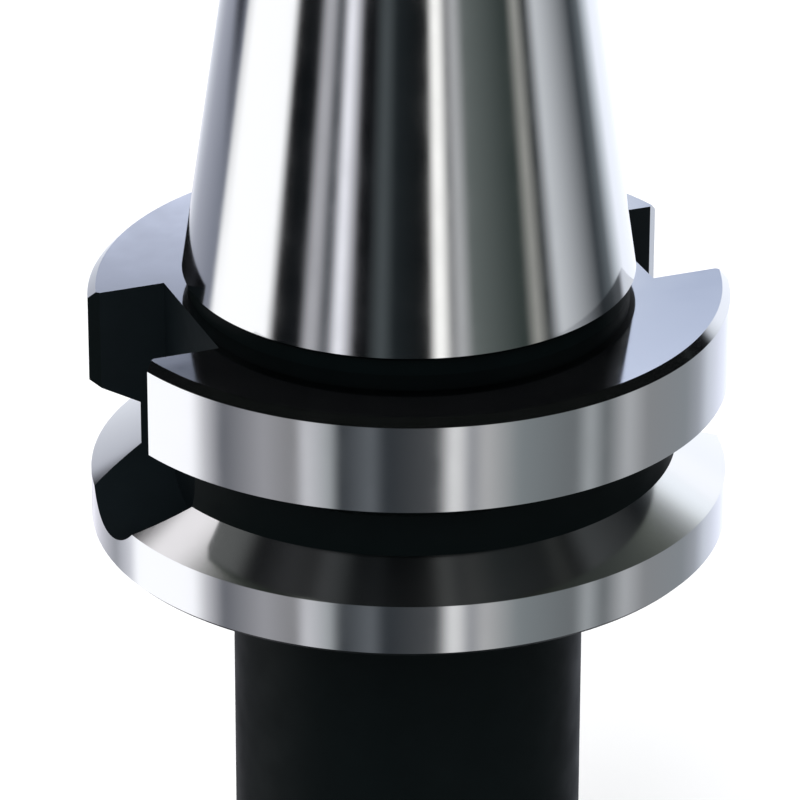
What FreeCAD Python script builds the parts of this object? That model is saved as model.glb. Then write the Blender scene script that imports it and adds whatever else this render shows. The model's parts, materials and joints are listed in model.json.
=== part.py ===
"""Collet chuck on a size 40 steep-taper shank, standing on its clamping nut.

All sizes are in millimetres. The frame's origin is the centre of the nut's front face,
+Z points along the axis to the small end of the taper, and the two drive slots face +X and -X.
"""

import FreeCAD, Part
import math
import os

import Sketcher

PARTS_FOLDER = "parts"
FULL_TURN = 360
HEXAGON_SIDES = 6
SMALLEST_CHANGE = 0.001
UPWARDS = FreeCAD.Vector(0, 0, 1)

# Driving dimensions: alias, value in millimetres (or degrees, or a count), what it measures.
DIMENSIONS = [
    ("projection", 100.0, "nut front face to the gauge line of the taper"),
    ("gauge_dia", 44.45, "taper diameter at the gauge line"),
    ("taper_length", 65.4, "gauge line to the small end"),
    ("taper_rate", 0.2916667, "change of diameter for each millimetre of length, 7 in 24"),
    ("taper_edge", 1.0, "chamfer on the small end"),
    ("neck_dia", 43.4, "relief between the ground taper and the flange"),
    ("neck_edge", 0.4, "length of the step from the ground taper to the neck"),
    ("flange_dia", 63.0, "outside diameter of the flange"),
    ("flange_back", 2.0, "gauge line to the flange's rear face"),
    ("flange_front", 27.0, "gauge line to the flange's front face"),
    ("flange_edge", 0.8, "chamfer on the flange's rear edge"),
    ("flange_front_edge", 0.4, "chamfer on the flange's front edge"),
    ("grip_centre", 16.6, "gauge line to the middle of the gripper groove"),
    ("grip_mouth", 10.0, "width of the gripper groove at the flange's outside"),
    ("grip_depth", 5.0, "depth of the gripper groove"),
    ("grip_angle", 30.0, "half angle of the gripper groove"),
    ("slot_width", 16.1, "width of a drive slot"),
    ("slot_floor", 22.6, "axis to the flat floor of a drive slot"),
    ("slot_end", 24.0, "gauge line to the round end of a drive slot"),
    ("slot_edge", 2.25, "chamfer of a drive slot's walls at the flange's outside"),
    ("slot_edge_lift", 0.3, "round end of a drive slot to the place where that chamfer runs out"),
    ("slot_edge_angle", 45.0, "slope of that chamfer"),
    ("slot_count", 2, "drive slots in the flange"),
    ("shank_dia", 35.0, "diameter of the shank in front of the flange"),
    ("shank_edge", 1.0, "chamfer on the shank's shoulder"),
    ("shank_root", 0.8, "bevel in the corner where the shank meets the flange"),
    ("nose_wall", 2.0, "outside of the nose thread to the collet's largest diameter"),
    ("nose_edge", 0.9, "chamfer on the front of the nose"),
    ("relief_depth", 1.0, "depth of the nose thread's run-out"),
    ("relief_length", 2.6, "length of the run-out of the nose thread"),
    ("nose_setback", 8.9, "nut front face to the nose's front face"),
    ("pocket_extra", 1.8, "depth of the pocket past the collet's rear end"),
    ("tool_bore_length", 24.0, "length of the clearance bore behind the pocket"),
    ("stop_dia", 12.0, "diameter of the stop screw's thread"),
    ("stop_length", 16.0, "length of the stop screw"),
    ("stop_forward", 8.0, "travel of the stop screw towards the collet"),
    ("stop_back", 4.0, "travel of the stop screw away from the collet"),
    ("stop_gap", 0.3, "room left behind the stop screw at the end of its travel"),
    ("stop_edge", 0.8, "chamfer on the ends of the stop screw"),
    ("stop_key", 6.0, "width across flats of the stop screw's sockets"),
    ("stop_key_depth", 5.0, "depth of each socket"),
    ("stop_hole_dia", 4.0, "coolant hole through the stop screw"),
    ("coolant_dia", 8.0, "coolant passage through the shank"),
    ("stud_tap_dia", 14.0, "wall of the pull stud's threaded hole"),
    ("stud_tap_depth", 34.0, "small end to the bottom of the threaded hole"),
    ("stud_pilot_dia", 17.0, "pilot bore for the pull stud"),
    ("stud_pilot_depth", 9.0, "depth of the pilot bore"),
    ("stud_pilot_edge", 0.6, "chamfer at the mouth of the pilot bore"),
    ("drill_rate", 0.6, "length of a drilled cone for each millimetre of its radius"),
    ("running_fit", 0.05, "radial clearance of a thread or a seat"),
    ("nut_wall", 5.0, "outside of the clamping nut to the nose thread"),
    ("nut_length", 19.0, "length of the clamping nut"),
    ("nut_gap", 2.0, "nut's rear face to the shank's shoulder when tight"),
    ("nut_front_edge", 2.0, "chamfer on the nut's front, along the radius"),
    ("nut_front_length", 1.4, "chamfer on the nut's front, along the axis"),
    ("nut_rear_edge", 0.6, "chamfer on the nut's rear"),
    ("seat_width", 1.6, "collet's largest radius to the opening in the nut's front face"),
    ("nut_chamber", 0.15, "radial room round the collet's head"),
    ("nut_thread_edge", 0.8, "lead-in of the nut's thread"),
    ("key_width", 5.2, "width of a spanner slot"),
    ("key_depth", 2.0, "depth of a spanner slot"),
    ("key_length", 12.0, "nut front face to the end of a spanner slot"),
    ("key_count", 6, "spanner slots round the nut"),
    ("lip_thickness", 2.0, "thickness of the extraction lip"),
    ("lip_bite", 1.0, "collet's largest diameter less that of the extraction lip's offset bore"),
    ("lip_offset", 0.8, "offset of that bore from the axis"),
    ("lip_gap", 0.4, "axial room between the lip and the collet's head"),
    ("collet_dia", 21.0, "largest diameter of the collet"),
    ("collet_length", 31.5, "length of the collet"),
    ("collet_setback", 1.2, "nut front face to the collet's front face"),
    ("collet_wall", 5.5, "clamping bore to the collet's largest radius"),
    ("collet_bore_edge", 0.5, "chamfer at the mouth of the clamping bore"),
    ("collet_head", 4.8, "length of the head in front of the collet's groove"),
    ("collet_cone", 2.5, "length of the front cone"),
    ("collet_cone_angle", 30.0, "half angle of the front cone"),
    ("collet_groove", 2.8, "width of the collet's extraction groove"),
    ("collet_groove_depth", 1.8, "depth of the collet's extraction groove"),
    ("collet_taper_angle", 8.0, "half angle of the collet's long taper"),
    ("slit_width", 0.8, "width of a slit"),
    ("slit_count", 8, "slits cut from each end"),
    ("slit_land", 4.0, "steel left beyond the end of a slit"),
]

# Places along the axis and radii that follow from the driving dimensions.
DERIVED = [
    ("gauge_z", "projection"),
    ("top_z", "projection + taper_length"),
    ("top_radius", "(gauge_dia - taper_length * taper_rate) / 2"),
    ("flange_rear_z", "projection - flange_back"),
    ("flange_front_z", "projection - flange_front"),
    ("grip_z", "projection - grip_centre"),
    ("grip_root_radius", "flange_dia / 2 - grip_depth"),
    ("grip_half_floor", "grip_mouth / 2 - grip_depth * tan(grip_angle * 1 deg)"),
    ("slot_end_z", "projection - slot_end"),
    ("nose_radius", "collet_dia / 2 + nose_wall"),
    ("relief_radius", "nose_radius - relief_depth"),
    ("nut_radius", "nose_radius + nut_wall"),
    ("groove_radius", "collet_dia / 2 - collet_groove_depth"),
    ("collet_bore_radius", "collet_dia / 2 - collet_wall"),
    ("nut_mouth_radius", "collet_dia / 2 - seat_width"),
    ("shank_end_z", "nut_length + nut_gap"),
    ("head_top_z", "collet_setback + collet_head"),
    ("taper_start_z", "collet_setback + collet_head + collet_groove"),
    ("collet_rear_z", "collet_setback + collet_length"),
    ("pocket_slope", "tan(collet_taper_angle * 1 deg)"),
    ("cone_slope", "tan(collet_cone_angle * 1 deg)"),
    ("collet_rear_radius", "collet_dia / 2 - (collet_rear_z - taper_start_z) * pocket_slope"),
    ("pocket_fit", "running_fit / cos(collet_taper_angle * 1 deg)"),
    ("pocket_z", "collet_rear_z + pocket_extra"),
    ("pocket_start_radius", "collet_dia / 2 + pocket_fit"),
    ("pocket_radius", "pocket_start_radius - (pocket_z - taper_start_z) * pocket_slope"),
    ("mouth_radius", "pocket_start_radius - (nose_setback - taper_start_z) * pocket_slope"),
    ("tool_bore_z", "pocket_z + tool_bore_length"),
    ("stop_start_z", "tool_bore_z + stop_forward"),
    ("stop_end_z", "stop_start_z + stop_length"),
    ("stop_hole_z", "stop_end_z + stop_back + stop_gap"),
    ("tap_z", "top_z - stud_tap_depth"),
    ("pilot_z", "top_z - stud_pilot_depth"),
    ("cone_front_radius", "collet_dia / 2 - collet_cone * cone_slope"),
    ("seat_fit", "running_fit / cos(collet_cone_angle * 1 deg)"),
    ("cone_top_z", "collet_setback + collet_cone"),
    ("seat_z", "collet_setback + (nut_mouth_radius - cone_front_radius - seat_fit) / cone_slope"),
    ("chamber_radius", "collet_dia / 2 + nut_chamber"),
    ("chamber_z", "cone_top_z + (nut_chamber - seat_fit) / cone_slope"),
    ("lip_z", "head_top_z + lip_gap"),
    ("lip_top_z", "lip_z + lip_thickness"),
    ("nut_bore_radius", "nose_radius + running_fit"),
]

doc = FreeCAD.newDocument("collet_chuck")


def make_sheet():
    """Write the driving dimensions and the places worked out from them into one sheet."""
    sheet = doc.addObject("Spreadsheet::Sheet", "Dimensions")
    for row, (alias, value, meaning) in enumerate(DIMENSIONS, start=1):
        sheet.set(f"A{row}", meaning)
        sheet.set(f"B{row}", str(value))
        sheet.setAlias(f"B{row}", alias)
    first = len(DIMENSIONS) + 2
    for row, (alias, formula) in enumerate(DERIVED, start=first):
        sheet.set(f"A{row}", "worked out")
        sheet.set(f"B{row}", "=" + formula)
        sheet.setAlias(f"B{row}", alias)
    doc.recompute()
    return sheet


sheet = make_sheet()


def size(formula):
    """Return the value of a formula written with the sheet's aliases."""
    return float(sheet.evalExpression(formula))


def bound(formula):
    """Return the formula with each of the sheet's aliases written as the document reads it."""
    aliases = {name for name, *_ in DIMENSIONS} | {name for name, _ in DERIVED}
    words = []
    word = ""
    for letter in formula + " ":
        if letter.isalnum() or letter == "_":
            word += letter
            continue
        words.append("Dimensions." + word if word in aliases else word)
        words.append(letter)
        word = ""
    return "".join(words).strip()


def make_body(name):
    """Start a sub-part whose label names its file."""
    body = doc.addObject("PartDesign::Body", name)
    body.Label = name
    return body


def make_sketch(body, name, plane, height="0"):
    """Attach a sketch to one of the body's own origin planes, moved along its normal."""
    sketch = body.newObject("Sketcher::SketchObject", name)
    support = next(item for item in body.Origin.OriginFeatures if item.Role == plane)
    sketch.AttachmentSupport = [(support, "")]
    sketch.MapMode = "FlatFace"
    if height != "0":
        sketch.AttachmentOffset = FreeCAD.Placement(FreeCAD.Vector(0, 0, size(height)), FreeCAD.Rotation())
        sketch.setExpression("AttachmentOffset.Base.z", bound(height))
    return sketch


def hold(sketch, geometry, point, across, up):
    """Tie a point of the sketch to its distances from the sketch's origin, where they are given."""
    for kind, formula in (("DistanceX", across), ("DistanceY", up)):
        if formula is None:
            continue
        if formula == "0":
            axis = -2 if kind == "DistanceX" else -1
            sketch.addConstraint(Sketcher.Constraint("PointOnObject", geometry, point, axis))
            continue
        value = size(formula)
        ends = (-1, 1, geometry, point) if value >= 0 else (geometry, point, -1, 1)
        index = sketch.addConstraint(Sketcher.Constraint(kind, *ends, abs(value)))
        sign = "" if value >= 0 else "-1 * "
        sketch.setExpression(f"Constraints[{index}]", f"{sign}({bound(formula)})")


def draw_outline(sketch, corners):
    """Draw a closed outline of straight lines whose corners are pairs of formulas."""
    points = [FreeCAD.Vector(size(across), size(up), 0) for across, up in corners]
    following = points[1:] + points[:1]
    sketch.addGeometry([Part.LineSegment(*ends) for ends in zip(points, following)], False)
    for index, (across, up) in enumerate(corners):
        next_line = (index + 1) % len(corners)
        sketch.addConstraint(Sketcher.Constraint("Coincident", index, 2, next_line, 1))
        hold(sketch, index, 1, across, up)


def draw_round_slot(sketch, half_width, low, high):
    """Draw a slot that opens upwards and ends below in a half circle as wide as itself."""
    radius = size(half_width)
    bottom = size(low)
    top = size(high)
    centre = FreeCAD.Vector(0, bottom + radius, 0)
    side = FreeCAD.Vector(radius, 0, 0)
    upper = FreeCAD.Vector(0, top, 0)
    circle = Part.Circle(centre, UPWARDS, radius)
    arc = sketch.addGeometry(Part.ArcOfCircle(circle, math.pi, 2 * math.pi))
    right = sketch.addGeometry(Part.LineSegment(centre + side, upper + side))
    across = sketch.addGeometry(Part.LineSegment(upper + side, upper - side))
    left = sketch.addGeometry(Part.LineSegment(upper - side, centre - side))
    for first, second in ((arc, right), (right, across), (across, left), (left, arc)):
        sketch.addConstraint(Sketcher.Constraint("Coincident", first, 2, second, 1))
    hold(sketch, arc, 1, f"-({half_width})", f"{low} + {half_width}")
    hold(sketch, arc, 2, None, f"{low} + {half_width}")
    hold(sketch, arc, 3, "0", f"{low} + {half_width}")
    hold(sketch, right, 2, half_width, high)
    hold(sketch, across, 2, f"-({half_width})", high)


def draw_circle(sketch, diameter, across="0"):
    """Draw a circle on the sketch's horizontal axis."""
    centre = FreeCAD.Vector(size(across), 0, 0)
    circle = sketch.addGeometry(Part.Circle(centre, UPWARDS, size(diameter) / 2))
    hold(sketch, circle, 3, across, "0")
    index = sketch.addConstraint(Sketcher.Constraint("Diameter", circle, size(diameter)))
    sketch.setExpression(f"Constraints[{index}]", bound(diameter))


def draw_hexagon(sketch, across_flats):
    """Draw a hexagon round the sketch's origin, with two of its sides level."""
    half_side_angle = FULL_TURN / HEXAGON_SIDES / 2
    corner = f"{across_flats} / 2 / cos({half_side_angle} deg)"
    corners = []
    for number in range(HEXAGON_SIDES):
        angle = FULL_TURN / HEXAGON_SIDES * number
        on_the_axis = number % (HEXAGON_SIDES // 2) == 0
        along = f"({corner}) * cos({angle} deg)"
        upward = "0" if on_the_axis else f"({corner}) * sin({angle} deg)"
        corners.append((along, upward))
    draw_outline(sketch, corners)


def turn(body, kind, name, corners):
    """Revolve an outline of radius and height pairs round the body's axis."""
    sketch = make_sketch(body, name + "_outline", "XZ_Plane")
    draw_outline(sketch, corners)
    feature = body.newObject(kind, name)
    feature.Profile = sketch
    feature.ReferenceAxis = (sketch, ["V_Axis"])
    feature.Angle = FULL_TURN
    finish_feature(body, feature)


def cut(body, name, sketch, length, outward, slope=None):
    """Cut the sketch's area out of the body over a length, along its normal or against it.

    A slope in degrees widens the cut on its way.
    """
    feature = body.newObject("PartDesign::Pocket", name)
    feature.Profile = sketch
    feature.Type = "Length"
    feature.Length = size(length)
    feature.setExpression("Length", bound(length))
    feature.Reversed = outward
    if slope:
        feature.setExpression("TaperAngle", bound(slope))
    finish_feature(body, feature)
    return feature


def repeat(body, name, originals, count):
    """Repeat features evenly round the body's axis."""
    pattern = body.newObject("PartDesign::PolarPattern", name)
    pattern.Originals = originals
    axis = next(item for item in body.Origin.OriginFeatures if item.Role == "Z_Axis")
    pattern.Axis = (axis, [""])
    pattern.Angle = FULL_TURN
    pattern.Occurrences = int(size(count))
    pattern.setExpression("Occurrences", bound(count))
    finish_feature(body, pattern)
    return pattern


def finish_feature(body, feature):
    """Rebuild the body and stop if a feature failed or a cut took nothing away."""
    before = body.Shape.Volume if not body.Shape.isNull() else 0.0
    body.Tip = feature
    doc.recompute()
    if not feature.isValid():
        raise RuntimeError(f"{feature.Name} failed")
    if abs(body.Shape.Volume - before) < SMALLEST_CHANGE:
        raise RuntimeError(f"{feature.Name} changed nothing")


def make_holder():
    """The chuck's body: taper, flange, shank and nose turned and ground from one bar."""
    body = make_body("holder_body")
    turn(body, "PartDesign::Revolution", "blank", [
        ("0", "nose_setback"),
        ("nose_radius - nose_edge", "nose_setback"),
        ("nose_radius", "nose_setback + nose_edge"),
        ("nose_radius", "shank_end_z - relief_length"),
        ("relief_radius", "shank_end_z - relief_length + relief_depth"),
        ("relief_radius", "shank_end_z"),
        ("shank_dia / 2 - shank_edge", "shank_end_z"),
        ("shank_dia / 2", "shank_end_z + shank_edge"),
        ("shank_dia / 2", "flange_front_z - shank_root"),
        ("shank_dia / 2 + shank_root", "flange_front_z"),
        ("flange_dia / 2 - flange_front_edge", "flange_front_z"),
        ("flange_dia / 2", "flange_front_z + flange_front_edge"),
        ("flange_dia / 2", "flange_rear_z - flange_edge"),
        ("flange_dia / 2 - flange_edge", "flange_rear_z"),
        ("neck_dia / 2", "flange_rear_z"),
        ("neck_dia / 2", "gauge_z - neck_edge"),
        ("gauge_dia / 2", "gauge_z"),
        ("top_radius + taper_edge * taper_rate / 2", "top_z - taper_edge"),
        ("top_radius - taper_edge", "top_z"),
        ("0", "top_z"),
    ])
    turn(body, "PartDesign::Groove", "gripper_groove", [
        ("flange_dia / 2", "grip_z - grip_mouth / 2"),
        ("flange_dia / 2", "grip_z + grip_mouth / 2"),
        ("grip_root_radius", "grip_z + grip_half_floor"),
        ("grip_root_radius", "grip_z - grip_half_floor"),
    ])
    turn(body, "PartDesign::Groove", "bores", [
        ("0", "nose_setback"),
        ("mouth_radius", "nose_setback"),
        ("pocket_radius", "pocket_z"),
        ("pocket_radius", "tool_bore_z"),
        ("stop_dia / 2 + running_fit", "tool_bore_z"),
        ("stop_dia / 2 + running_fit", "stop_hole_z"),
        ("coolant_dia / 2", "stop_hole_z + drill_rate * (stop_dia - coolant_dia) / 2"),
        ("coolant_dia / 2", "tap_z - drill_rate * (stud_tap_dia - coolant_dia) / 2"),
        ("stud_tap_dia / 2", "tap_z"),
        ("stud_tap_dia / 2", "pilot_z"),
        ("stud_pilot_dia / 2", "pilot_z"),
        ("stud_pilot_dia / 2", "top_z - stud_pilot_edge"),
        ("stud_pilot_dia / 2 + stud_pilot_edge", "top_z"),
        ("0", "top_z"),
    ])
    slot = make_sketch(body, "drive_slot_outline", "YZ_Plane", "slot_floor")
    draw_round_slot(slot, "slot_width / 2", "slot_end_z", "flange_rear_z")
    slot_cut = cut(body, "drive_slot", slot, "flange_dia / 2 - slot_floor", True)
    edge = make_sketch(body, "drive_slot_edge_outline", "YZ_Plane", "flange_dia / 2 - slot_edge")
    draw_round_slot(edge, "slot_width / 2", "slot_end_z + slot_edge + slot_edge_lift", "flange_rear_z")
    edge_cut = cut(body, "drive_slot_edge", edge, "slot_edge", True, "slot_edge_angle")
    repeat(body, "drive_slots", [slot_cut, edge_cut], "slot_count")
    return body


def make_nut():
    """The slotted clamping nut with its cone seat and offset extraction lip."""
    body = make_body("clamping_nut")
    turn(body, "PartDesign::Revolution", "blank", [
        ("nut_mouth_radius", "0"),
        ("nut_radius - nut_front_edge", "0"),
        ("nut_radius", "nut_front_length"),
        ("nut_radius", "nut_length - nut_rear_edge"),
        ("nut_radius - nut_rear_edge", "nut_length"),
        ("nut_bore_radius + nut_thread_edge", "nut_length"),
        ("nut_bore_radius", "nut_length - nut_thread_edge"),
        ("nut_bore_radius", "lip_top_z"),
        ("groove_radius", "lip_top_z"),
        ("groove_radius", "lip_z"),
        ("chamber_radius", "lip_z"),
        ("chamber_radius", "chamber_z"),
        ("nut_mouth_radius", "seat_z"),
    ])
    lip = make_sketch(body, "lip_outline", "XY_Plane", "lip_z")
    draw_circle(lip, "collet_dia - lip_bite", "lip_offset")
    cut(body, "lip_bore", lip, "lip_thickness", True)
    key = make_sketch(body, "spanner_slot_outline", "YZ_Plane", "nut_radius - key_depth")
    draw_outline(key, [
        ("-key_width / 2", "0"),
        ("key_width / 2", "0"),
        ("key_width / 2", "key_length"),
        ("-key_width / 2", "key_length"),
    ])
    key_cut = cut(body, "spanner_slot", key, "key_depth", True)
    repeat(body, "spanner_slots", [key_cut], "key_count")
    return body


def make_collet():
    """The spring collet: a slit sleeve with a long taper, a groove and a front cone."""
    body = make_body("collet")
    turn(body, "PartDesign::Revolution", "blank", [
        ("collet_bore_radius + collet_bore_edge", "collet_setback"),
        ("cone_front_radius", "collet_setback"),
        ("collet_dia / 2", "cone_top_z"),
        ("collet_dia / 2", "head_top_z"),
        ("groove_radius", "head_top_z"),
        ("groove_radius", "taper_start_z"),
        ("collet_dia / 2", "taper_start_z"),
        ("collet_rear_radius", "collet_rear_z"),
        ("collet_bore_radius", "collet_rear_z"),
        ("collet_bore_radius", "collet_setback + collet_bore_edge"),
    ])
    front = make_sketch(body, "front_slit_outline", "YZ_Plane")
    draw_outline(front, [
        ("-slit_width / 2", "collet_setback"),
        ("slit_width / 2", "collet_setback"),
        ("slit_width / 2", "collet_rear_z - slit_land"),
        ("-slit_width / 2", "collet_rear_z - slit_land"),
    ])
    front_cut = cut(body, "front_slit", front, "collet_dia / 2", True)
    rear = make_sketch(body, "rear_slit_outline", "YZ_Plane")
    draw_outline(rear, [
        ("-slit_width / 2", "head_top_z"),
        ("slit_width / 2", "head_top_z"),
        ("slit_width / 2", "collet_rear_z"),
        ("-slit_width / 2", "collet_rear_z"),
    ])
    repeat(body, "front_slits", [front_cut], "slit_count")
    spin_sketch(rear, "180 / slit_count")
    rear_cut = cut(body, "rear_slit", rear, "collet_dia / 2", True)
    repeat(body, "rear_slits", [rear_cut], "slit_count")
    return body


def spin_sketch(sketch, angle):
    """Turn an upright sketch's plane round the body's axis by a formula in degrees."""
    upright = FreeCAD.Rotation(FreeCAD.Vector(0, 1, 0), size(angle))
    sketch.AttachmentOffset = FreeCAD.Placement(FreeCAD.Vector(0, 0, 0), upright)
    sketch.setExpression("AttachmentOffset.Rotation.Angle", bound(angle))


def make_stop_screw():
    """The hollow set screw that stops the tool's shank, with a socket in each end."""
    body = make_body("stop_screw")
    turn(body, "PartDesign::Revolution", "blank", [
        ("stop_hole_dia / 2", "stop_start_z"),
        ("stop_dia / 2 - stop_edge", "stop_start_z"),
        ("stop_dia / 2", "stop_start_z + stop_edge"),
        ("stop_dia / 2", "stop_end_z - stop_edge"),
        ("stop_dia / 2 - stop_edge", "stop_end_z"),
        ("stop_hole_dia / 2", "stop_end_z"),
    ])
    front = make_sketch(body, "front_socket_outline", "XY_Plane", "stop_start_z")
    draw_hexagon(front, "stop_key")
    cut(body, "front_socket", front, "stop_key_depth", True)
    rear = make_sketch(body, "rear_socket_outline", "XY_Plane", "stop_end_z")
    draw_hexagon(rear, "stop_key")
    cut(body, "rear_socket", rear, "stop_key_depth", False)
    return body


def check_and_export(bodies):
    """Stop if any object failed, then write one file for each sub-part."""
    doc.recompute()
    for item in doc.Objects:
        if "Invalid" in item.State or "Error" in item.State:
            raise RuntimeError(f"{item.Name} is in error: {item.State}")
    os.makedirs(PARTS_FOLDER, exist_ok=True)
    for body in bodies:
        shape = body.Shape
        if shape.isNull() or not shape.isValid() or len(shape.Solids) != 1:
            raise RuntimeError(f"{body.Label} is not one valid solid")
        shape.exportStep(f"{PARTS_FOLDER}/{body.Label}.step")
        print(body.Label, round(shape.Volume, 1), shape.BoundBox)


check_and_export([make_holder(), make_nut(), make_collet(), make_stop_screw()])
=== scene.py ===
"""Looks and studio for a collet chuck on a size 40 steep-taper shank.

The chuck stands on its clamping nut with the taper upwards. Sizes in the classes are millimetres,
as a workshop drawing gives them, and one factor turns them to the frame's metres.
"""

import json
import logging
import math
from dataclasses import dataclass
from enum import Enum
from typing import Any, Optional, Sequence

import bpy
import numpy as np
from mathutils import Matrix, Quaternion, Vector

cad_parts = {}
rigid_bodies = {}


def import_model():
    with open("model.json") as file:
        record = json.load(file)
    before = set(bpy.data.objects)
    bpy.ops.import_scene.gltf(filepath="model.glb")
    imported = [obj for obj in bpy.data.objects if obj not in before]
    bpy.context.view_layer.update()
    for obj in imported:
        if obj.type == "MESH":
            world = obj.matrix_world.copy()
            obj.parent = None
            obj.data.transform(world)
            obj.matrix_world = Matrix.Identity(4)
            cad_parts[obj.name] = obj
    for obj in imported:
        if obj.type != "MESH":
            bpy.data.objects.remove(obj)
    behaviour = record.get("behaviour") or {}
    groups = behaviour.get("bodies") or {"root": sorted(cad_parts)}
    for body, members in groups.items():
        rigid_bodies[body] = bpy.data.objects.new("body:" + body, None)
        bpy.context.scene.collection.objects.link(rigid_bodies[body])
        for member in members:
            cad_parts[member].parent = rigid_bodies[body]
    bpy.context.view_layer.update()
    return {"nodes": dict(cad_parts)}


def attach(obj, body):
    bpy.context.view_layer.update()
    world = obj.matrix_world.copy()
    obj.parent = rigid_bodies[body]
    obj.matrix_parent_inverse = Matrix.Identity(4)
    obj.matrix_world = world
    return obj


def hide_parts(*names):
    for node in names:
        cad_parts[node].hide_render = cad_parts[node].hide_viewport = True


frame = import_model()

MILLIMETRE = 0.001
# Edges sharper than this angle in degrees are drawn crisp.
CREASE_ANGLE = 18.0
# Detail levels of the noise in the tool marks and in the patches between them.
MARK_DETAIL = 2.0
PATCH_DETAIL = 4.0
# The patch noise seldom leaves this range, so it is stretched to the whole roughness swing.
PATCH_RANGE = (0.3, 0.7)
# What a direction with no card shows.
DARK_CARD = "#060708"

logging.basicConfig(level=logging.INFO, format="%(message)s")
log = logging.getLogger("chuck")


def to_linear(code: str) -> tuple[float, float, float, float]:
    """Turn an sRGB hex colour to linear light, by the two-part curve of the sRGB standard.

    Args:
        code: The colour as "#rrggbb".

    Returns:
        Red, green, blue and an alpha of 1.
    """
    channels = np.array([int(code[start:start + 2], 16) for start in (1, 3, 5)]) / 255
    linear = np.where(channels <= 0.04045, channels / 12.92, ((channels + 0.055) / 1.055) ** 2.4)
    return (*linear.tolist(), 1.0)


def add_node(
    tree: bpy.types.NodeTree,
    kind: str,
    values: Optional[dict[Any, Any]] = None,
    links: Optional[dict[Any, bpy.types.NodeSocket]] = None,
    **settings: Any,
) -> bpy.types.Node:
    """Add one node with its settings, its sockets' values and the links into it.

    Args:
        tree: The node tree that takes the node.
        kind: The node's Blender type.
        values: Value of each input socket, by name or number.
        links: Output socket that feeds each input socket, by name or number.
        **settings: The node's own properties.

    Returns:
        The new node.
    """
    node = tree.nodes.new(kind)
    for name, value in settings.items():
        setattr(node, name, value)
    for key, value in (values or {}).items():
        node.inputs[key].default_value = value
    for key, socket in (links or {}).items():
        tree.links.new(socket, node.inputs[key])
    return node


class Skin(Enum):
    """The finishes that the chuck's surfaces have, by the number of their material slot."""

    GROUND = 0
    BLACK = 1
    BORE = 2
    RIM = 3
    FLANK = 4
    SLOT = 5
    # Dark steel on the groove's upper flank: painted shade for the shadow inside the groove.
    GROOVE_SHADE = 6


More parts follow.
